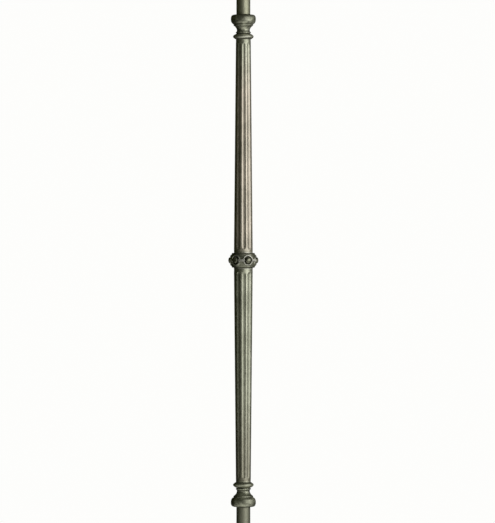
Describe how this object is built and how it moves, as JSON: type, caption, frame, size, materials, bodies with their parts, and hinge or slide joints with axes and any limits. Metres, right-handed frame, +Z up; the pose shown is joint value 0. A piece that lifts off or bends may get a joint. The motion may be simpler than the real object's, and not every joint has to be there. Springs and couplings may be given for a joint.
{
  "type": "stair baluster",
  "caption": "Slender cast stair baluster with a fluted double-tapered shaft, a buttoned middle knuckle, turned end bulbs and plain round bars at both ends.",
  "frame": {"origin": "centre of the lower bar's end face, on the baluster's axis", "axes": "+Z up along the axis from the foot to the head; one flute faces -Y, which is the side the picture shows"},
  "size_m": [0.0344, 0.0338, 1.118],
  "materials": {
    "casting": "satin olive-grey patina, darker in the hollows and rubbed pale on the raised edges"
  },
  "bodies": {
    "root": {"baluster": "casting"}
  },
  "joints": []
}
